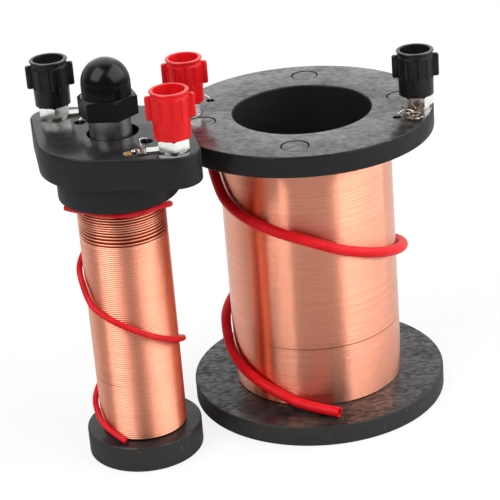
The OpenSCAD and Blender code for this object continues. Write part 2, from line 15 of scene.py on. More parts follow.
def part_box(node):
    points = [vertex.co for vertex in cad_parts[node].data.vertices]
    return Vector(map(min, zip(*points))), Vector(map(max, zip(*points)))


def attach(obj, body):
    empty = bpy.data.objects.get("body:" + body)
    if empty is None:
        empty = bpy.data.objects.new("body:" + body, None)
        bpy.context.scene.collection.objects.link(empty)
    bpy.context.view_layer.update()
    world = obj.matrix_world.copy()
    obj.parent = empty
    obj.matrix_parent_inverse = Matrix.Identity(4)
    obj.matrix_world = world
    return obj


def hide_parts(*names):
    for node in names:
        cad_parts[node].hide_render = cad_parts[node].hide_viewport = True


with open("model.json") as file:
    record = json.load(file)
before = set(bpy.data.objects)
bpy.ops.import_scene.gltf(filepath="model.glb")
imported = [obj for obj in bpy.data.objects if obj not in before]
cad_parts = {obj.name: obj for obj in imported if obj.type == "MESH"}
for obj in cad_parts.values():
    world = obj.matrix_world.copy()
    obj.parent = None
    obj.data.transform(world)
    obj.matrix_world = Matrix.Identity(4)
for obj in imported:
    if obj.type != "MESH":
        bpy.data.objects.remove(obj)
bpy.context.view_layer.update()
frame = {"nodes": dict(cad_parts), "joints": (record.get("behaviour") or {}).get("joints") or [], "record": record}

MM = 0.001
UP = Vector((0, 0, 1))


# Places and sizes, in millimetres


def corners(node):
    """Lowest and highest corner of a CAD node."""
    low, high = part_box(node)
    return low / MM, high / MM


def axis_of(node):
    """Where the vertical axis of a CAD node stands."""
    low, high = corners(node)
    return ((low + high) / 2).xy


def radius_of(node):
    """Radius of a round CAD node."""
    low, high = corners(node)
    return (high.x - low.x) / 2


def polar(r, degrees):
    """Flat place at a distance and an angle from an axis."""
    return Vector((r * cos(radians(degrees)), r * sin(radians(degrees))))


def at(place, z):
    """Flat place lifted to a height."""
    return Vector((place[0], place[1], z))


def mount_radius(name):
    """Radius of a bore that the record states as a mount."""
    return next(m["dims"]["r_mm"] for m in frame["record"]["mounts"] if m["name"] == name)


SECONDARY = SimpleNamespace(
    axis=axis_of("secondary_tube"),
    face=corners("secondary_top_flange")[1].z,
    under=corners("secondary_top_flange")[0].z,
    ledge=corners("secondary_bottom_flange")[1].z,
    flange_r=radius_of("secondary_top_flange"),
    tube_r=radius_of("secondary_tube"),
    bore_r=mount_radius("secondary_bore"),
    winding_r=radius_of("secondary_outer_layer"),
    wire=0.24,
    lead=0.32,
    hole_r=1.1,
    sleeve=2.6,
)
PRIMARY = SimpleNamespace(
    axis=axis_of("primary_tube"),
    face=corners("primary_head")[1].z,
    under=corners("primary_head")[0].z,
    ledge=corners("primary_foot")[1].z,
    foot_r=radius_of("primary_foot"),
    tube_r=radius_of("primary_tube"),
    bore_r=6.2,
    winding_r=radius_of("primary_packed_turns"),
    wire=0.52,
    slack=0.43,
    lead=0.5,
    hole_r=1.5,
    sleeve=1.5,
)
PLATE_R = 18.1
PLATE_T = 7.7
EAR_R = 6
COLLAR_R = 14.5
EDGE = 0.45
WIRE_FIT = 0.05
WIRE_SIDES = 8
WIRE_SMOOTH = 70
TINNED_FROM, TINNED_TO = 76.2, 77.2
LOOSE_START = corners("primary_packed_turns")[1].z
MARK_R = 3.5
MARK_DEPTH = 0.1
MARK_GROOVE = 0.4
MARK_REACH = 25.0
MARK_ANGLES = (8, 85, 188, 263)

TAG_T = 0.5
TAG_REACH = 7.4
NUT_AF = 7
NUT_H = 2.6
SEAT_GAP = 0.03
POST_H = 3.1
STUD_R = 3
STUD_DROP = 3.2
THREAD_DEPTH = 0.45
THREAD_PITCH = 1.0
SOCKET_R = 2
SOCKET_DEPTH = 7
SHANK_R = 2
KNOB_H = 11.3
KNOB_RIM_R = 4.6
KNOB_FOOT_R = 4.35
KNOB_BORE_R = 3.65
RIM_BAND = 1.2
WING_SPAN = 11.4
WING_W = 1.4
WING_H = 5.8
FLUTE_W = 1
FLUTE_DEPTH = 0.3
FLUTES = 5
LIP = 0.5
BAND_DEPTH = 0.25
BAND_SLOPE = 0.5
FLUTE_TOP = 0.35
NECK_DEPTH = 0.12

CAP_AF = 12.4
CAP_HEX_H = 4.9
CAP_TURN = 50
NECK_R = 5.8
NECK_H = 3
DOME_R = 5.75


def post(name, coil, tag_turn, nut_turn, wing_turn, hole, bow):
    """Binding post: where its joint puts it, the turns of its pieces in degrees, and its lead's way to it."""
    joint = next(j for j in frame["joints"] if j["name"] == name + "_knob_turn")
    place = Vector(joint["pos_m"][:2]) / MM
    body, colour = name.split("_")
    return SimpleNamespace(name=name, coil=coil, body=body, colour=colour, place=place,
                           tag_turn=tag_turn, nut_turn=nut_turn, wing_turn=wing_turn,
                           hole=coil.axis + hole, eye=place + polar(TAG_REACH, tag_turn), bow=Vector(bow))


SECONDARY_RED = post("secondary_red", SECONDARY, 77.8, 20, 0, polar(25.2, 153.1), (0, 0))
SECONDARY_BLACK = post("secondary_black", SECONDARY, -102.2, 52, -3, polar(25.2, -26.9), (0, 0))
PRIMARY_RED = post("primary_red", PRIMARY, 184, 33, 2, polar(11.5, -45), (-1, 0))
PRIMARY_BLACK = post("primary_black", PRIMARY, 4, 37, 6, polar(11.5, 135), (1.5, -1))
POSTS = (SECONDARY_RED, SECONDARY_BLACK, PRIMARY_RED, PRIMARY_BLACK)


# Node trees and finishes


class Shade:
    """Value in a node tree. Arithmetic on it adds Math nodes."""

    def __init__(self, web, socket):
        self.web = web
        self.socket = socket

    def __add__(self, other):
        return self.web.math("ADD", self, other)

    def __radd__(self, other):
        return self.web.math("ADD", other, self)

    def __sub__(self, other):
        return self.web.math("SUBTRACT", self, other)

    def __rsub__(self, other):
        return self.web.math("SUBTRACT", other, self)

    def __mul__(self, other):
        return self.web.math("MULTIPLY", self, other)

    def __rmul__(self, other):
        return self.web.math("MULTIPLY", other, self)


class Web:
    """Node tree, with one method that adds a node and a few that use it."""

    def __init__(self, tree):
        self.tree = tree

    def feed(self, target, inputs):
        """Sets or links a node's sockets."""
        for key, value in inputs.items():
            if isinstance(value, Shade):
                self.tree.links.new(value.socket, target.inputs[key])
            else:
                target.inputs[key].default_value = value

    def node(self, kind, settings=None, inputs=None, output=0):
        """Adds a node, with its settings and then its sockets, and returns one of its outputs."""
        made = self.tree.nodes.new(kind)
        for key, value in (settings or {}).items():
            setattr(made, key, value)
        self.feed(made, inputs or {})
        return Shade(self, made.outputs[output])

    def math(self, operation, first, second):
        return self.node("ShaderNodeMath", {"operation": operation}, {0: first, 1: second})

    def part(self, vector, axis):
        """One of a vector's three parts."""
        return self.node("ShaderNodeSeparateXYZ", None, {0: vector}, axis)

    def spread(self, value, low, high, first=0, last=1):
        """Smooth step of a value from one number to another."""
        span = {"Value": value, "From Min": low, "From Max": high, "To Min": first, "To Max": last}
        return self.node("ShaderNodeMapRange", {"interpolation_type": "SMOOTHSTEP"}, span, "Result")

    def mix(self, factor, first, second):
        """Blend of two colours."""
        return self.node("ShaderNodeMix", {"data_type": "RGBA"}, {0: factor, 6: first, 7: second}, 2)


class Finish(Web):
    """Procedural material for one slot of the record, around one Principled shader."""

    def __init__(self, slot, name=None, **constants):
        self.slot = slot
        self.material = bpy.data.materials.new(name or slot)
        self.material.use_nodes = True
        super().__init__(self.material.node_tree)
        self.shader = self.tree.nodes["Principled BSDF"]
        self.feed(self.shader, {key.replace("_", " "): value for key, value in constants.items()})
        self.point = self.node("ShaderNodeTexCoord", output="Object")
        self.facing = self.node("ShaderNodeTexCoord", output="Normal")

    def noise(self, size, detail=2.0, stretch=(1, 1, 1)):
        """Noise with features of a size in millimetres, drawn out along each axis by its stretch."""
        scale = tuple(1 / (size * MM * s) for s in stretch)
        place = self.node("ShaderNodeVectorMath", {"operation": "MULTIPLY"}, {0: self.point, 1: scale})
        return self.node("ShaderNodeTexNoise", None, {"Vector": place, "Scale": 1.0, "Detail": detail})

    def height(self):
        """Height above the table in millimetres."""
        return self.part(self.point, "Z") * (1 / MM)

    def paint(self, color=None, roughness=None, relief=None, depth=0.02, coat=None):
        """Feeds the shader what varies over the surface. The depth of a relief is in millimetres."""
        if color:
            self.feed(self.shader, {"Base Color": color})
        if roughness:
            self.feed(self.shader, {"Roughness": roughness})
        if coat:
            self.feed(self.shader, {"Coat Weight": coat})
        if relief:
            bump = self.node("ShaderNodeBump", None, {"Height": relief, "Distance": depth * MM})
            self.feed(self.shader, {"Normal": bump})
        return self


def tone(r, g, b):
    return (r, g, b, 1)


def bobbin_plastic(name, blur, shine, cloudy):
    """Black moulding: dull sides with scuffed edges, dust and painted light from the table low down, and a clear
    or cloudy sheen on top, whose cloudy patches are partly a painted sheen.
    """
    f = Finish("bobbin_plastic", name, Specular_IOR_Level=0.12, Coat_IOR=2.05, Coat_Roughness=blur)
    up = f.part(f.facing, "Z")
    top = f.spread(up, 0.9, 0.99)
    edge = f.spread(up, 0.25, 0.6) * (1 - top)
    foot = f.spread(f.height(), 12, 5)
    cloud = f.spread(f.noise(3, 7), 0.34, 0.66) * (1 - 0.6 * foot) * cloudy
    smear = f.spread(f.noise(5, 5, (1.6, 1, 1)), 0.42, 0.62)
    grain = f.spread(f.noise(0.9, 4, (2, 1, 1)), 0.38, 0.62)
    scuff = f.spread(f.noise(2.5, 4, (2, 1, 1)), 0.56, 0.68) * edge
    dust = f.spread(f.noise(0.8, 1), 0.70, 0.76) * foot
    # the lighter grey patches on the upper faces are partly the moulding's own cloudiness and partly a painted
    # sheen
    cloud_and_painted_sheen = f.mix(cloud * top, tone(0.008, 0.008, 0.009), tone(0.048, 0.042, 0.040))
    # painted light: the sides are painted lighter low down, where light thrown up from the table falls on them
    painted_foot_light = f.mix(foot * (1 - top), cloud_and_painted_sheen, tone(0.022, 0.022, 0.021))
    color = f.mix(scuff * 0.2 + dust * 0.12, painted_foot_light, tone(0.30, 0.29, 0.28))
    sheen = top * shine * (1 - (0.4 * grain + 0.15 * smear) * cloudy - 0.4 * foot) + 0.08 * (1 - top)
    return f.paint(color, 0.55 - 0.15 * top + 0.1 * smear, f.noise(0.35, 2), 0.012, sheen)


def copper(name, blur, varnish=0.5, uneven=1.0, shaded_seam=None):
    """Enamelled copper wire, each turn with its own tone, and tinned where it comes out on top of a coil.

    A shaded seam is a height where two turns part, painted as a dark line of shade, and the stretch of X over
    which it fades in.
    """
    f = Finish("winding_copper", name, Metallic=1.0, Coat_Weight=varnish, Coat_Roughness=0.2, Coat_IOR=1.6)
    turn = f.spread(f.noise(0.4, 2, (400, 400, 1)), 0.3, 0.7, 0, uneven)
    patch = f.noise(7, 3)
    color = f.mix(turn, tone(0.78, 0.300, 0.185), tone(0.90, 0.380, 0.245))
    color = f.mix(f.spread(patch, 0.55, 0.75) * 0.15, color, tone(0.68, 0.220, 0.120))
    if shaded_seam:
        height, hidden, plain = shaded_seam
        # painted shade: a dark line where two turns part and shade falls between them
        seam_shade = f.node("ShaderNodeMath", {"operation": "COMPARE"}, {0: f.height(), 1: height, 2: 0.14})
        shown = f.spread(f.part(f.point, "X") * (1 / MM), hidden, plain)
        color = f.mix(seam_shade * shown * 0.85, color, tone(0.22, 0.05, 0.02))
    color = f.mix(f.spread(f.height(), TINNED_FROM, TINNED_TO), color, tone(0.66, 0.60, 0.57))
    return f.paint(color, blur + 0.04 * patch)


def shaded_copper():
    """Copper of a layer that lies in the shade of the turns over it."""
    f = Finish("winding_copper", "shaded_copper", Metallic=1.0)
    turn = f.noise(0.4, 2, (400, 400, 1))
    return f.paint(f.mix(turn, tone(0.20, 0.022, 0.006), tone(0.32, 0.045, 0.014)), 0.4 + 0.1 * turn)


def sleeve_red(name, dark, light):
    """Soft red sleeving with a faint lengthwise draw mark and a little bloom."""
    f = Finish("sleeve_red", name, Specular_IOR_Level=0.14)
    bloom = f.noise(3.5, 4)
    color = f.mix(f.spread(bloom, 0.35, 0.7), dark, light)
    return f.paint(color, 0.30 + 0.18 * bloom, f.noise(0.6, 3), 0.02)


def knob_plastic(slot, dark, light):
    """Moulded plastic with faint flow marks, brighter where its rim faces up."""
    f = Finish(slot, Specular_IOR_Level=0.2, Coat_Roughness=0.2, Coat_IOR=1.7)
    flow = f.noise(2.2, 4, (1, 1, 2.5))
    color = f.mix(f.spread(flow, 0.35, 0.7), dark, light)
    rim = f.spread(f.part(f.facing, "Z"), 0.5, 0.9)
    return f.paint(color, 0.26 + 0.16 * f.noise(0.8, 3), f.noise(0.5, 2), 0.006, 0.6 * rim)


def cap_plastic():
    """Black moulding with a few hairlines, polished most on the crown of its dome."""
    f = Finish("cap_black", Specular_IOR_Level=0.04, Coat_Roughness=0.2)
    hairline = f.spread(f.noise(0.5, 3, (1, 1, 8)), 0.6, 0.75)
    color = f.mix(hairline * 0.5, tone(0.003, 0.003, 0.004), tone(0.008, 0.008, 0.010))
    up = f.part(f.facing, "Z")
    polish = 0.1 + 0.26 * f.spread(up, 0.1, 0.45) + 0.64 * f.spread(up, 0.76, 0.92)
    return f.paint(color, 0.26 + 0.1 * f.noise(1.6, 3), f.noise(1.2, 2), 0.003, polish)


def nickel_plate():
    """Nickel plating, dulled in patches, with fine marks from the spanner."""
    f = Finish("nickel_plate", Metallic=1.0)
    dull = f.spread(f.noise(1.3, 4), 0.45, 0.7)
    color = f.mix(dull * 0.3, tone(0.86, 0.86, 0.82), tone(0.60, 0.58, 0.53))
    return f.paint(color, 0.16 + 0.12 * f.noise(0.7, 3), f.noise(0.25, 2), 0.001)


def solder_tin():
    """Bright solder, frosted where it froze last."""
    f = Finish("nickel_plate", "solder_tin", Metallic=1.0)
    frost = f.spread(f.noise(0.5, 4), 0.45, 0.65)
    color = f.mix(frost, tone(0.82, 0.81, 0.80), tone(0.42, 0.40, 0.38))
    return f.paint(color, 0.18 + 0.25 * frost, f.noise(0.4, 3), 0.04)


def dull_tin():
    """Tinned wire gone grey and brown in its windings."""
    f = Finish("nickel_plate", "dull_tin", Metallic=1.0)
    color = f.mix(f.spread(f.noise(0.8, 3), 0.4, 0.6), tone(0.09, 0.065, 0.055), tone(0.50, 0.43, 0.39))
    return f.paint(color, 0.25 + 0.2 * f.noise(0.5, 2))


def flux_residue(name, dark, light):
    """Brown flux, left glassy round a soldered joint."""
    f = Finish("nickel_plate", name, IOR=1.5)
    color = f.mix(f.noise(0.9, 4), dark, light)
    return f.paint(color, 0.18 + 0.3 * f.noise(0.6, 2), f.noise(0.5, 3), 0.02)


def insert_brass():
    """Turned brass with fine rings from the tool."""
    f = Finish("insert_brass", Metallic=1.0)
    ring = f.noise(0.15, 2, (30, 30, 1))
    color = f.mix(ring, tone(0.62, 0.43, 0.16), tone(0.80, 0.62, 0.30))
    return f.paint(color, 0.22 + 0.15 * ring, ring, 0.005)


def core_iron():
    """Ground soft iron, with grinding lines round it and a grey film."""
    f = Finish("core_iron", Metallic=1.0)
    line = f.noise(0.12, 3, (25, 25, 1))
    film = f.spread(f.noise(4, 4), 0.4, 0.7)
    color = f.mix(film * 0.6, tone(0.25, 0.25, 0.26), tone(0.12, 0.12, 0.125))
    return f.paint(color, 0.24 + 0.2 * line, line, 0.004)


SECONDARY_PLASTIC = bobbin_plastic("cloudy_plastic", 0.2, 1.0, 1.0)
PRIMARY_PLASTIC = bobbin_plastic("clear_plastic", 0.18, 0.45, 0.25)
SECONDARY_COPPER = copper("secondary_copper", 0.16, shaded_seam=(21.3, -16, -8))
PRIMARY_COPPER = copper("primary_copper", 0.27, 0.4, 0.4, shaded_seam=(21.7, -47, -51))
SHADED_COPPER = shaded_copper()
LEAD_COPPER = copper("lead_copper", 0.25)
SLEEVE = {
    "secondary": sleeve_red("secondary_red", tone(0.60, 0.004, 0.009), tone(0.70, 0.010, 0.018)),
    "primary": sleeve_red("primary_red", tone(0.52, 0.006, 0.010), tone(0.62, 0.013, 0.020)),
}
KNOB = {
    "red": knob_plastic("knob_red", tone(0.57, 0.004, 0.006), tone(0.66, 0.007, 0.010)),
    "black": knob_plastic("knob_black", tone(0.005, 0.005, 0.006), tone(0.011, 0.011, 0.012)),
}
CAP = cap_plastic()
NICKEL = nickel_plate()
SOLDER = solder_tin()
DULL_TIN = dull_tin()
TAN_FLUX = flux_residue("tan_flux", tone(0.22, 0.11, 0.035), tone(0.46, 0.27, 0.10))
BROWN_FLUX = flux_residue("brown_flux", tone(0.012, 0.005, 0.003), tone(0.08, 0.030, 0.011))
BRASS = insert_brass()
IRON = core_iron()


# Shells and paths


def eased(outline, size, steps=3):
    """Closed outline with every corner turned into a short curve."""
    out = []
    for i, corner in enumerate(outline):
        ends = [Vector(outline[i - 1]), Vector(outline[(i + 1) % len(outline)])]
        corner = Vector(corner)
        start, stop = [corner + (end - corner).normalized() * size for end in ends]
        for k in range(steps + 1):
            t = k / steps
            out.append(start.lerp(corner, t).lerp(corner.lerp(stop, t), t))
    return out


def turned(outline, axis, closed=True, steps=128):
    """Shell turned about a vertical axis from an outline of (radius, height)."""
    bm = bmesh.new()
    verts = [bm.verts.new((r, 0, z)) for r, z in outline]
    edges = [bm.edges.new(pair) for pair in zip(verts, verts[1:])]
    if closed:
        edges.append(bm.edges.new((verts[-1], verts[0])))
    bmesh.ops.spin(bm, geom=verts + edges, cent=(0, 0, 0), axis=UP, angle=tau, steps=steps, use_merge=True)
    return settled(bm, axis)


def settled(bm, axis):
    """Shell with its doubles merged and its faces turned outwards, moved to an axis."""
    bmesh.ops.remove_doubles(bm, verts=bm.verts, dist=0.001)
    bmesh.ops.recalc_face_normals(bm, faces=bm.faces)
    bmesh.ops.translate(bm, vec=at(axis, 0), verts=bm.verts)
    return bm


def drum(axis, r, low, high, sides=64, turn=0):
    """Plain cylinder or prism between two heights, with a corner at an angle, to cut with or to build on."""
    bm = bmesh.new()
    place = Matrix.Translation(at(axis, (low + high) / 2)) @ Matrix.Rotation(radians(turn - 90), 4, "Z")
    bmesh.ops.create_cone(bm, cap_ends=True, segments=sides, radius1=r, radius2=r, depth=high - low,
                          matrix=place)
    return bm


def soften(bm, width, segments=3, sharper=50):
    """Rounds every edge that is sharper than an angle."""
    edges = [e for e in bm.edges if e.is_manifold and e.calc_face_angle() > radians(sharper)]
    bmesh.ops.bevel(bm, geom=edges, offset=width, offset_type="OFFSET", segments=segments, profile=0.5,
                    affect="EDGES", material=-1, clamp_overlap=True)
    return bm


def combined(bm, tool, operation):
    """One shell cut by, joined to or crossed with another."""
    made = []
    for shell in (bm, tool):
        mesh = bpy.data.meshes.new("workpiece")
        shell.to_mesh(mesh)
        shell.free()
        made.append(bpy.data.objects.new("workpiece", mesh))
        bpy.context.scene.collection.objects.link(made[-1])
    cut = made[0].modifiers.new("cut", "BOOLEAN")
    cut.operation = operation
    cut.solver = "EXACT"
    cut.object = made[1]
    bpy.context.view_layer.update()
    out = bmesh.new()
    out.from_object(made[0], bpy.context.evaluated_depsgraph_get())
    for piece in made:
        bpy.data.meshes.remove(piece.data)
    bmesh.ops.dissolve_degenerate(out, dist=0.002, edges=out.edges)
    return out


def added(bm, other):
    """One mesh that holds two shells."""
    mesh = bpy.data.meshes.new("workpiece")
    other.to_mesh(mesh)
    other.free()
    bm.from_mesh(mesh)
    bpy.data.meshes.remove(mesh)
    return bm


def smooth_path(points, steps):
    """Smooth path through a few points."""
    path = []
    for i in range(len(points) - 1):
        before, here, there = points[max(i - 1, 0)], points[i], points[i + 1]
        after = points[min(i + 2, len(points) - 1)]
        for k in range(steps):
            t = k / steps
            bend = 2 * before - 5 * here + 4 * there - after
            twist = 3 * here - before - 3 * there + after
            path.append((2 * here + (there - before) * t + bend * t ** 2 + twist * t ** 3) / 2)
    return path + [points[-1]]


def swept(path, across, sides=10):
    """Round wire along a path, as one closed shell."""
    bm = bmesh.new()
    last = len(path) - 1
    along = [(path[min(i + 1, last)] - path[max(i - 1, 0)]).normalized() for i in range(last + 1)]
    place = Matrix.Translation(path[0]) @ UP.rotation_difference(along[0]).to_matrix().to_4x4()
    ring = bmesh.ops.create_circle(bm, radius=across / 2, segments=sides, matrix=place)["verts"]
    edges = list(bm.edges)
    for i in range(last):
        grown = bmesh.ops.extrude_edge_only(bm, edges=edges)["geom"]
        ring = {g for g in grown if isinstance(g, bmesh.types.BMVert)}
        edges = [g for g in grown if isinstance(g, bmesh.types.BMEdge) and set(g.verts) <= ring]
        turn = along[i].rotation_difference(along[i + 1]).to_matrix().to_4x4()
        step = Matrix.Translation(path[i + 1]) @ turn @ Matrix.Translation(-path[i])
        bmesh.ops.transform(bm, matrix=step, verts=list(ring))
    bmesh.ops.holes_fill(bm, edges=[e for e in bm.edges if e.is_boundary], sides=sides)
    bmesh.ops.recalc_face_normals(bm, faces=bm.faces)
    return bm


def hollow_ends(bm, wall, depth, sides):
    """Bores the flat ends of a sleeve."""
    for end in [f for f in bm.faces if len(f.verts) == sides]:
        inwards = end.normal * -depth
        bmesh.ops.inset_individual(bm, faces=[end], thickness=wall)
        floor = bmesh.ops.extrude_discrete_faces(bm, faces=[end])["faces"][0]
        bmesh.ops.translate(bm, vec=inwards, verts=floor.verts)
    return bm


def wound_layer(axis, crest_r, core_r, low, high, wire, bulge, steps=84, facets=4):
    """Closed layer of turns lying side by side: one helix that falls as it goes round anticlockwise.

    Each turn shows the arc of its wire that reaches this far either side of its crest, in degrees.
    """
    turns = round((high - low) / wire) - 1
    pitch = (high - low) / (turns + 1)
    curve = pitch / 2 / sin(radians(bulge))
    bm = bmesh.new()
    verts = []
    for i in range(turns * facets + 1):
        turn, step = divmod(i, facets)
        a = radians(bulge) * (2 * step / facets - 1)
        z = high - pitch * (turn + 0.5) - curve * sin(a)
        verts.append(bm.verts.new((0, crest_r - curve * (1 - cos(a)), z)))
    edges = [bm.edges.new(pair) for pair in zip(verts, verts[1:])]
    fall = Vector((0, 0, -pitch / steps))
    bmesh.ops.spin(bm, geom=verts + edges, cent=(0, 0, 0), axis=UP, dvec=fall, angle=tau, steps=steps)
    bmesh.ops.remove_doubles(bm, verts=bm.verts, dist=0.004)
    grown = bmesh.ops.extrude_edge_only(bm, edges=[e for e in bm.edges if e.is_boundary])["geom"]
    for vert in [g for g in grown if isinstance(g, bmesh.types.BMVert)]:
        vert.co.xy *= core_r / vert.co.xy.length
    bmesh.ops.bridge_loops(bm, edges=[e for e in bm.edges if e.is_boundary])
    return settled(bm, axis)


def hexagon(axis, af, low, high, turn):
    """Hexagonal block whose corners are turned off at its top."""
    drop = af / 2 * tan(radians(30))
    barrel = turned([(0, low), (af, low), (af, high - drop), (af / 2, high), (0, high)], axis, closed=False)
    return combined(drum(axis, af / 2 / cos(pi / 6), low, high, 6, turn), barrel, "INTERSECT")


def blob(place, size, seed):
    """Lump that froze or dried where it ran, with an uneven surface."""
    bm = bmesh.new()
    bmesh.ops.create_icosphere(bm, subdivisions=4, radius=1)
    for vert in bm.verts:
        swell = 1 + 0.35 * noise.noise(vert.co * 1.7 + Vector((seed, 0, 0)))
        vert.co = Vector(place) + Vector(size) * (vert.co * swell)
    return bm


def finished(name, bm, finish, body, nodes=(), smooth=40):
    """Makes a shell a piece of the object, which rides on a body and stands for its CAD nodes."""
    bmesh.ops.scale(bm, vec=(MM, MM, MM), verts=bm.verts)
    mesh = bpy.data.meshes.new(name)
    bm.to_mesh(mesh)
    bm.free()
    mesh.materials.append(finish.material)
    mesh.shade_smooth()
    mesh.set_sharp_from_angle(angle=radians(smooth))
    piece = bpy.data.objects.new(name, mesh)
    bpy.context.scene.collection.objects.link(piece)
    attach(piece, body)
    if nodes:
        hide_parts(*nodes)
    return piece


def kept(node, finish):
    """Gives a CAD node that stays in view its finish."""
    for slot in frame["nodes"][node].material_slots:
        slot.material = finish.material


# Bobbins


def secondary_bobbin():
    """Tube with a round flange on either end, bored for the leads and marked by the mould's ejector pins."""
    c = SECONDARY
    outline = [(c.bore_r, 0), (c.flange_r, 0), (c.flange_r, c.ledge), (c.tube_r, c.ledge),
               (c.tube_r, c.under), (c.flange_r, c.under), (c.flange_r, c.face), (c.bore_r, c.face)]
    bm = turned(eased(outline, EDGE), c.axis, steps=192)
    low, deep = c.face - MARK_DEPTH, c.face - MARK_DEPTH - MARK_GROOVE
    mark = [(0, low), (MARK_R - MARK_GROOVE, low), (MARK_R - MARK_GROOVE / 2, deep), (MARK_R, low),
            (MARK_R, c.face + 1), (0, c.face + 1)]
    for angle in MARK_ANGLES:
        place = c.axis + polar(MARK_REACH, angle)
        bm = combined(bm, turned(mark, place, closed=False, steps=64), "DIFFERENCE")
    for p in (SECONDARY_RED, SECONDARY_BLACK):
        bm = combined(bm, drum(p.hole, c.hole_r, c.under - 1, c.face + 1, 32), "DIFFERENCE")
    finished("secondary_bobbin", bm, SECONDARY_PLASTIC, "secondary",
             ["secondary_tube", "secondary_top_flange", "secondary_bottom_flange"])


def primary_bobbin():
    """Tube with a round foot, and a collar under an eared plate that carries the posts."""
    c = PRIMARY
    plate_low = c.face - PLATE_T
    plate = bmesh.new()
    for place, r in ((c.axis, PLATE_R), (PRIMARY_RED.place, EAR_R), (PRIMARY_BLACK.place, EAR_R)):
        where = Matrix.Translation(at(place, c.face - PLATE_T / 2))
        bmesh.ops.create_cone(plate, cap_ends=True, segments=96, radius1=r, radius2=r, depth=PLATE_T,
                              matrix=where)
    bmesh.ops.delete(plate, geom=plate.edges[:] + plate.faces[:], context="EDGES_FACES")
    hull = bmesh.ops.convex_hull(plate, input=plate.verts)
    spare = {g for g in hull["geom_interior"] + hull["geom_unused"] if isinstance(g, bmesh.types.BMVert)}
    bmesh.ops.delete(plate, geom=list(spare), context="VERTS")
    bmesh.ops.dissolve_limit(plate, angle_limit=radians(0.5), verts=plate.verts, edges=plate.edges)
    soften(plate, EDGE)
    outline = [(c.bore_r, 0), (c.foot_r, 0), (c.foot_r, c.ledge), (c.tube_r, c.ledge), (c.tube_r, c.under),
               (COLLAR_R, c.under), (COLLAR_R, plate_low), (c.bore_r, plate_low)]
    body = turned(eased(outline, EDGE), c.axis)
    plate = combined(plate, drum(c.axis, c.bore_r, plate_low - 1, c.face + 1, 96), "DIFFERENCE")
    drill_turn = 5
    for p in (PRIMARY_RED, PRIMARY_BLACK):
        upper = drum(p.hole, c.hole_r, plate_low - 1, c.face + 1, 32, drill_turn)
        plate = combined(plate, upper, "DIFFERENCE")
        lower = drum(p.hole, c.hole_r, c.under - 1, plate_low + 1, 32, drill_turn)
        body = combined(body, lower, "DIFFERENCE")
    finished("primary_plate", plate, PRIMARY_PLASTIC, "primary", ["primary_head"])
    finished("primary_spool", body, PRIMARY_PLASTIC, "primary", ["primary_tube", "primary_foot"])


# Windings


def secondary_winding():
    """Fine wire in smooth layers."""
    c = SECONDARY
    low, high = c.ledge + WIRE_FIT, c.under - WIRE_FIT
    bm = wound_layer(c.axis, c.winding_r, c.tube_r + WIRE_FIT, low, high, c.wire, 44, 96, 3)
    finished("secondary_winding", bm, SECONDARY_COPPER, "secondary",
             ["secondary_outer_layer", "secondary_inner_layers"], smooth=50)


def primary_winding():
    """Packed turns, and the layer that shows through the slack ones above them."""
    c = PRIMARY
    core_r = c.tube_r + WIRE_FIT
    packed = wound_layer(c.axis, c.winding_r, core_r, c.ledge + WIRE_FIT, LOOSE_START, c.wire, 58, 72, 5)
    finished("primary_winding", packed, PRIMARY_COPPER, "primary", ["primary_packed_turns"],
             smooth=WIRE_SMOOTH)
    low, high = LOOSE_START + WIRE_FIT, c.under - WIRE_FIT
    under = wound_layer(c.axis, c.winding_r - c.wire, core_r, low, high, c.wire, 50, 72, 5)
    finished("primary_under_layer", under, SHADED_COPPER, "primary", ["primary_inner_layers"],
             smooth=WIRE_SMOOTH)


def primary_slack_turns():
    """Last turns of the wire, slackened under the collar: close at the top, spaced wide at the bottom.

    They start in front and run on to the back of the coil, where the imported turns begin.
    """
    c = PRIMARY
    falls = [0.50] * 3 + [0.72] * 4 + [0.58] * 3 + [0.70, 0.81, 0.89, 0.89, 1.17]
    steps = 60
    first, last = -45, 90
    path = []
    for k in range(steps * (len(falls) - 1) + round(steps * (last - first) / 360) + 1):
        turn, step = divmod(k, steps)
        a = tau * step / steps + radians(first)
        sway = noise.noise(Vector((1.2 * cos(a), 1.2 * sin(a), 0.9 * k / steps)))
        r = c.winding_r - c.slack / 2 + 0.05 * sway
        drop = sum(falls[:turn]) + falls[turn] * step / steps - 0.06 * sway
        path.append(at(c.axis + Vector((r * cos(a), r * sin(a))), c.under - WIRE_FIT - c.wire / 2 - drop))
    finished("primary_slack_turns", swept(path, c.slack, WIRE_SIDES), PRIMARY_COPPER, "primary",
             ["primary_loose_turns"], smooth=WIRE_SMOOTH)


# Sleeves over the return ends of the windings: angle round the coil, share of the free height, stand-off

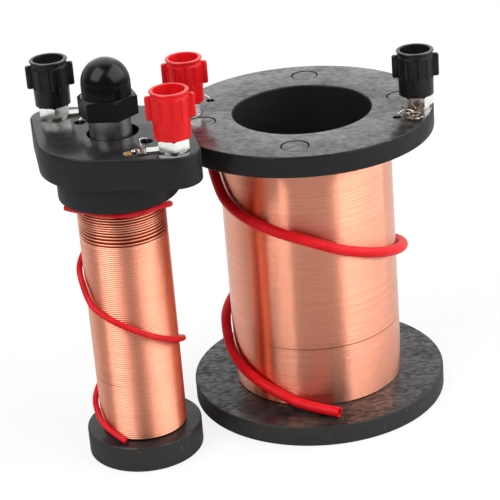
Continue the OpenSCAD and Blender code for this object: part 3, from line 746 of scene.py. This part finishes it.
SECONDARY_ROUTE = [
    (-195, 0.955, 0.2), (-180, 0.92, 0.1), (-166, 0.875, 0), (-155, 0.825, 0), (-140, 0.79, 0),
    (-97, 0.712, 0), (-71, 0.645, 0), (-36, 0.568, 0), (-5, 0.512, 0.3), (80, 0.37, 0),
    (160, 0.245, 0.1), (178, 0.215, 0.1), (190, 0.155, 0), (203, 0.118, 0), (228, 0.066, 0),
    (240, 0.04, 0), (251, 0.013, 0.15), (261, 0, 1.05), (272.5, 0, 3.9),
]
PRIMARY_ROUTE = [
    (-152.5, 0.997, 1.3), (-140, 0.998, 0.35), (-128, 0.999, 0), (-100, 0.996, 0), (-76, 0.99, 0),
    (-47, 0.987, 0), (-31, 0.98, 0), (2, 0.941, 0), (90, 0.82, 0), (165, 0.715, 0),
    (185, 0.69, 0), (200, 0.655, 0), (211, 0.61, 0), (220, 0.582, 0), (236, 0.558, 0),
    (270, 0.502, 0), (310, 0.426, 0), (350, 0.365, 0), (440, 0.23, 0), (525, 0.115, 0),
    (545, 0.09, 0), (558, 0.073, 0), (566, 0.052, 0), (580, 0.033, 0), (592, 0.018, 0), (602, 0.004, 0.1),
]
REST_GAP = 0.2
SLEEVE_SIDES = 20
SLEEVE_WALL = 0.4
SLEEVE_BORED = 1.6


def route_slope(route, i, column):
    """Slope of a route's column at one of its points."""
    low, high = route[max(i - 1, 0)], route[min(i + 1, len(route) - 1)]
    return (high[column] - low[column]) / (high[0] - low[0])


def route_value(route, angle, column):
    """Smooth value of a route's column at an angle."""
    i = max([k for k in range(len(route) - 1) if route[k][0] <= angle], default=0)
    width = route[i + 1][0] - route[i][0]
    t = (angle - route[i][0]) / width
    blend = t * t * (3 - 2 * t)
    sides = (1 - t) * route_slope(route, i, column) - t * route_slope(route, i + 1, column)
    return max(0, route[i][column] * (1 - blend) + route[i + 1][column] * blend + width * t * (1 - t) * sides)


def sleeve_path(coil, route):
    """Middle of a sleeve along its route, run straight on at both ends by its own thickness."""
    low = coil.ledge + REST_GAP + coil.sleeve / 2
    high = coil.under - REST_GAP - coil.sleeve / 2
    span = route[-1][0] - route[0][0]
    steps = round(span / 4)
    path = []
    for k in range(steps + 1):
        angle = route[0][0] + span * k / steps
        r = coil.winding_r + REST_GAP + coil.sleeve / 2 + route_value(route, angle, 2)
        path.append(at(coil.axis + polar(r, angle), low + (high - low) * route_value(route, angle, 1)))
    first = path[0] + (path[0] - path[1]).normalized() * coil.sleeve
    final = path[-1] + (path[-1] - path[-2]).normalized() * coil.sleeve
    return [first] + path + [final]


def sleeve(name, coil, route):
    """Red sleeve laid round a winding, cut square and open at both ends."""
    bm = swept(sleeve_path(coil, route), coil.sleeve, SLEEVE_SIDES)
    hollow_ends(bm, SLEEVE_WALL, SLEEVE_BORED, SLEEVE_SIDES)
    finished(name + "_red_tubing", bm, SLEEVE[name], name, [name + "_sleeve"])


# Leads and their soldered ends


def lead_path(p, places):
    """Way of a lead from places beside its winding, up through its hole and over to the eye of its tag."""
    under, top = p.coil.under, p.coil.face
    arch = 1.7
    middle = (p.hole + p.eye) / 2 + p.bow
    points = places + [
        at(p.hole + (places[-1].xy - p.hole) / 5, (places[-1].z + under - 0.5) / 2),
        at(p.hole, under + 0.5), at(p.hole, under + arch), at(p.hole, top - arch / 2),
        at(p.hole + (middle - p.hole) / 6, top + arch / 2), at(middle, top + arch),
        at(p.eye + (middle - p.eye) / 6, top + arch * 3 / 4), at(p.eye, top + TAG_T / 2),
    ]
    return smooth_path(points, 7)


def lead(p, places):
    bm = swept(lead_path(p, places), p.coil.lead, WIRE_SIDES)
    finished(p.name + "_lead_wire", bm, LEAD_COPPER, p.body, [p.name + "_lead"], smooth=WIRE_SMOOTH)


def sleeve_mouth(coil, route):
    """Place just past the upper end of a sleeve, where its lead comes out."""
    end, inside = sleeve_path(coil, route)[:2]
    return end + (end - inside).normalized() * REST_GAP


def leads():
    """Two leads leave the top turns of their windings, and two come out of the sleeves."""
    for p, angle in ((SECONDARY_BLACK, -8.2), (PRIMARY_RED, -39)):
        lead(p, [at(p.coil.axis + polar(p.coil.winding_r + 0.5, angle), p.coil.under - 0.5)])
    lead(SECONDARY_RED, [sleeve_mouth(SECONDARY, SECONDARY_ROUTE)])
    start = sleeve_mouth(PRIMARY, PRIMARY_ROUTE)
    beside = PRIMARY.axis + polar(PRIMARY.winding_r + REST_GAP + PRIMARY.sleeve, 180)
    lead(PRIMARY_BLACK, [start, at(beside, start.z)])


def wrapped_end(p, turns, across):
    """End of a lead wound round the tip of its tag, with a short tail left standing."""
    wire = p.coil.lead
    out = polar(1, p.tag_turn).to_3d()
    side = UP.cross(out)
    middle = at(p.eye, p.coil.face + TAG_T / 2)
    path = []
    round_steps = 16
    steps = turns * round_steps
    for k in range(steps + 1):
        a = tau * k / round_steps
        r = across / 2 * (1 + 0.12 * noise.noise(Vector((0.3 * k, p.nut_turn, 0))))
        along = 1.6 * (k / steps - 0.5)
        lift = max(0.6 * r * sin(a), wire / 2 - TAG_T / 2)
        path.append(middle + out * along + side * (r * cos(a)) + UP * lift)
    path += [path[-1] + UP * h + out * h * 0.4 for h in (0.4, 0.9, 1.5)]
    finished(p.name + "_wrapped_end", swept(path, wire, WIRE_SIDES), DULL_TIN, p.body, smooth=WIRE_SMOOTH)


def coiled_end(p, r, wire):
    """Spare end of a fine lead, coiled into a loose flat ring on the tip of its tag."""
    middle = at(p.eye + polar(1.5, p.tag_turn), p.coil.face + TAG_T)
    path = []
    turns, steps = 7, 28
    for k in range(turns * steps):
        a = tau * k / steps
        sway = Vector((1.5 * cos(a), 1.5 * sin(a), k / steps))
        reach = r * (1 + 0.28 * noise.noise(sway))
        lift = wire / 2 + 0.5 * abs(noise.noise(sway + Vector((7, 0, 0))))
        path.append(middle + at(polar(reach, 360 * k / steps + 60), lift))
    path += [path[-1] + Vector((-0.5, 0.3, 0.7)) * k for k in (1, 2, 3)]
    finished(p.name + "_coiled_end", swept(path, wire, 6), DULL_TIN, p.body, smooth=WIRE_SMOOTH)
    pool = at(p.eye, p.coil.face + 0.1)
    out = polar(1, p.tag_turn).to_3d()
    flux = added(blob(pool - out * 2.8 + UP * 0.5, (2.0, 1.9, 1.2), p.nut_turn),
                 blob(pool + out * 1.4, (2.4, 2.3, 0.3), 3))
    finished(p.name + "_flux", flux, BROWN_FLUX, p.body)


def soldered_end(p):
    """Solder over the tip of a tag, with the flux that ran out of it."""
    tip = at(p.eye, p.coil.face + TAG_T + 0.1)
    out = polar(1, p.tag_turn).to_3d()
    solder = added(blob(tip + out * 0.3, (1.1, 0.9, 0.4), p.nut_turn),
                   blob(tip + out * 1.5, (0.9, 0.6, 0.35), p.nut_turn + 9))
    finished(p.name + "_solder", solder, SOLDER, p.body)
    pool = at(p.eye, p.coil.face) + out * 3.2
    finished(p.name + "_flux", blob(pool, (1.2, 0.9, 0.4), p.nut_turn + 5), TAN_FLUX, p.body)


# Binding posts


def stud(p):
    """Nickel-plated stud: a plug socket in its top, a thread round it and a thinner shank below."""
    low = p.coil.face + POST_H
    top = low + KNOB_H - STUD_DROP
    root = STUD_R - THREAD_DEPTH
    outline = [(0, low - POST_H), (SHANK_R, low - POST_H), (SHANK_R, low), (root, low), (root, top - 0.6),
               (STUD_R - 0.3, top - 0.5), (STUD_R - 0.6, top), (SOCKET_R + 0.3, top), (SOCKET_R, top - 0.3),
               (SOCKET_R, top - SOCKET_DEPTH), (0, top - SOCKET_DEPTH)]
    bm = turned(outline, p.place, closed=False, steps=48)
    bm = added(bm, wound_layer(p.place, STUD_R, root - 0.1, low, top - 0.55, THREAD_PITCH, 70, 48))
    finished(p.name + "_threaded_stud", bm, NICKEL, p.body, [p.name + "_stud"])


def nut(p):
    low = p.coil.face + TAG_T
    bm = hexagon(p.place, NUT_AF, low, low + NUT_H - SEAT_GAP, p.nut_turn)
    finished(p.name + "_hexagon_nut", bm, NICKEL, p.body, [p.name + "_nut"], smooth=20)


def knob_depth(angle, drop):
    """Depth of the knob's bands and flutes, at an angle from its wings and a drop below its rim."""
    if drop < LIP:
        return 0
    if drop > RIM_BAND + WING_H:
        return NECK_DEPTH
    if drop < RIM_BAND + BAND_SLOPE:
        return BAND_DEPTH * min(1, (RIM_BAND + BAND_SLOPE - drop) / BAND_SLOPE)
    spacing = pi / (FLUTES + 1)
    nearest = round(angle / spacing)
    if nearest % (FLUTES + 1) == 0:
        return 0
    aside = abs(angle - nearest * spacing) * KNOB_RIM_R
    end = RIM_BAND + WING_H - FLUTE_W / 2
    off = sqrt(aside ** 2 + max(drop - end, RIM_BAND + FLUTE_TOP - drop, 0) ** 2)
    return FLUTE_DEPTH * sqrt(max(0, 1 - (2 * off / FLUTE_W) ** 2))


def knob(p):
    """Moulded cup with a lip and a recessed band round its rim, flutes in its sides and two wings."""
    low = p.coil.face + POST_H
    top = low + KNOB_H
    rows = 44
    slope = (KNOB_RIM_R - KNOB_FOOT_R) / KNOB_H
    wall = [(KNOB_FOOT_R + slope * KNOB_H * k / rows, low + KNOB_H * k / rows) for k in range(1, rows)]
    outline = [(KNOB_BORE_R + 0.1, low), (KNOB_FOOT_R - 0.3, low), (KNOB_FOOT_R - 0.08, low + 0.1)] + wall + [
        (KNOB_RIM_R - 0.07, top - 0.12), (KNOB_RIM_R - 0.25, top), (KNOB_BORE_R + 0.2, top),
        (KNOB_BORE_R + 0.05, top - 0.08), (KNOB_BORE_R, top - 0.3), (KNOB_BORE_R, low + 0.1)]
    bm = turned(outline, (0, 0), steps=168)
    for vert in bm.verts:
        if vert.co.xy.length > KNOB_FOOT_R - 0.02:
            angle = atan2(vert.co.y, vert.co.x)
            vert.co.xy *= 1 - knob_depth(angle, top - vert.co.z) / vert.co.xy.length
    inner = (KNOB_BORE_R + KNOB_FOOT_R) / 2
    outer = WING_SPAN / 2
    for side in (-1, 1):
        wing = bmesh.new()
        bmesh.ops.create_cube(wing, size=1)
        bmesh.ops.scale(wing, vec=(outer - inner, WING_W, WING_H), verts=wing.verts)
        middle = (side * (inner + outer) / 2, 0, top - RIM_BAND - WING_H / 2)
        bmesh.ops.translate(wing, vec=middle, verts=wing.verts)
        bm = combined(bm, soften(wing, 0.5), "UNION")
    bmesh.ops.rotate(bm, cent=(0, 0, 0), matrix=Matrix.Rotation(radians(p.wing_turn), 3, "Z"), verts=bm.verts)
    bmesh.ops.translate(bm, vec=at(p.place, 0), verts=bm.verts)
    finished(p.name + "_knob_moulding", bm, KNOB[p.colour], p.name + "_knob", [p.name + "_knob"], smooth=32)


# Core


def core():
    """Iron rod, which stays as it is, and the domed cap on its end."""
    kept("core_rod", IRON)
    axis = axis_of("core_rod")
    low = corners("core_cap")[0].z
    shoulder = low + CAP_HEX_H
    neck_top = shoulder + NECK_H
    dome = [(DOME_R * cos(pi / 2 * k / 20), neck_top + DOME_R * sin(pi / 2 * k / 20)) for k in range(20)]
    outline = [(0, low + 1), (NECK_R, low + 1), (NECK_R, neck_top - 0.1)] + dome + [(0, neck_top + DOME_R)]
    hexagonal_foot = hexagon(axis, CAP_AF, low, shoulder, CAP_TURN)
    bm = combined(hexagonal_foot, turned(outline, axis, closed=False, steps=96), "UNION")
    finished("core_domed_cap", bm, CAP, "core", ["core_cap"], smooth=30)


# Camera, light and surround


def camera():
    """Camera fitted to the photograph: it looks down on the coils and leans a little to one side."""
    place = Vector((-0.015545, -0.439893, 0.23805))
    pitch, roll = 0.422723, -0.0811924
    ahead = Vector((0, cos(pitch), -sin(pitch)))
    right = Vector((1, 0, 0))
    above = right.cross(ahead)
    across = cos(roll) * right + sin(roll) * above
    upright = cos(roll) * above - sin(roll) * right
    lens = bpy.data.cameras.new("camera")
    lens.lens = 136.14
    lens.sensor_width = 36
    view = bpy.data.objects.new("camera", lens)
    turn = Matrix((across, upright, -ahead)).transposed()
    view.matrix_world = Matrix.Translation(place) @ turn.to_4x4()
    bpy.context.scene.collection.objects.link(view)
    bpy.context.scene.camera = view


def softbox(name, azimuth, elevation, width, height, watts):
    """Soft rectangular lamp, at an azimuth counted to the right from straight in front."""
    target = Vector((-0.02, -0.01, 0.045))
    a, e = radians(azimuth), radians(elevation)
    away = Vector((sin(a) * cos(e), -cos(a) * cos(e), sin(e)))
    lamp = bpy.data.lights.new(name, "AREA")
    lamp.shape = "RECTANGLE"
    lamp.size = width
    lamp.size_y = height
    lamp.energy = watts
    stand = bpy.data.objects.new(name, lamp)
    turn = away.to_track_quat("Z", "Y").to_matrix()
    stand.matrix_world = Matrix.Translation(target + away) @ turn.to_4x4()
    bpy.context.scene.collection.objects.link(stand)


def surround():
    """White where the camera sees it. The object is lit by white from behind and less from in front."""
    world = bpy.data.worlds.new("studio")
    world.use_nodes = True
    bpy.context.scene.world = world
    web = Web(world.node_tree)
    direction = web.node("ShaderNodeTexCoord", output="Generated")
    behind = web.spread(web.part(direction, "Y"), -0.1, 0.6, 0.1, 1.0)
    seen = web.node("ShaderNodeLightPath", output="Is Camera Ray")
    soft = web.node("ShaderNodeLightPath", output="Is Diffuse Ray")
    level = behind * (1 - 0.35 * soft)
    strength = level * (1 - seen) + seen
    web.feed(world.node_tree.nodes["Background"], {"Color": tone(1, 1, 1), "Strength": strength})


def floor():
    """Pale table that keeps the object's shadow and goes over into the white of the background."""
    bm = bmesh.new()
    bmesh.ops.create_grid(bm, x_segments=1, y_segments=1, size=1.5)
    bmesh.ops.translate(bm, vec=(0, 0, -0.0001), verts=bm.verts)
    mesh = bpy.data.meshes.new("table")
    bm.to_mesh(mesh)
    bm.free()
    material = bpy.data.materials.new("table_white")
    material.use_nodes = True
    web = Web(material.node_tree)
    shader = material.node_tree.nodes["Principled BSDF"]
    web.feed(shader, {"Base Color": tone(0.62, 0.62, 0.62), "Roughness": 0.7})
    glow = web.node("ShaderNodeEmission", None, {"Color": tone(1, 1, 1), "Strength": 1.08})
    seen = web.node("ShaderNodeLightPath", output="Is Camera Ray")
    place = web.node("ShaderNodeTexCoord", output="Object")
    away = web.node("ShaderNodeVectorMath", {"operation": "LENGTH"}, {0: place}, "Value")
    plain = web.spread(away, 0.3, 0.7, 0.75, 1)
    cover = Shade(web, shader.outputs["BSDF"])
    both = web.node("ShaderNodeMixShader", None, {0: seen * plain, 1: cover, 2: glow})
    web.feed(material.node_tree.nodes["Material Output"], {"Surface": both})
    mesh.materials.append(material)
    table = bpy.data.objects.new("table", mesh)
    bpy.context.scene.collection.objects.link(table)


# The scene

camera()
sleeve("secondary", SECONDARY, SECONDARY_ROUTE)
sleeve("primary", PRIMARY, PRIMARY_ROUTE)
leads()
secondary_bobbin()
primary_bobbin()
secondary_winding()
primary_winding()
primary_slack_turns()
for each in POSTS:
    stud(each)
    nut(each)
    knob(each)
    kept(each.name + "_tag", NICKEL)
    kept(each.name + "_insert", BRASS)
for each in (SECONDARY_RED, PRIMARY_RED, PRIMARY_BLACK):
    soldered_end(each)
wrapped_end(PRIMARY_RED, 4, 3.4)
coiled_end(SECONDARY_BLACK, 2.3, 0.2)
core()
softbox("left_softbox", -52, 47, 0.77, 1.0, 10.0)
softbox("right_softbox", 77, 36, 1.59, 1.1, 18.0)
surround()
floor()
bpy.context.scene.view_settings.view_transform = "Standard"
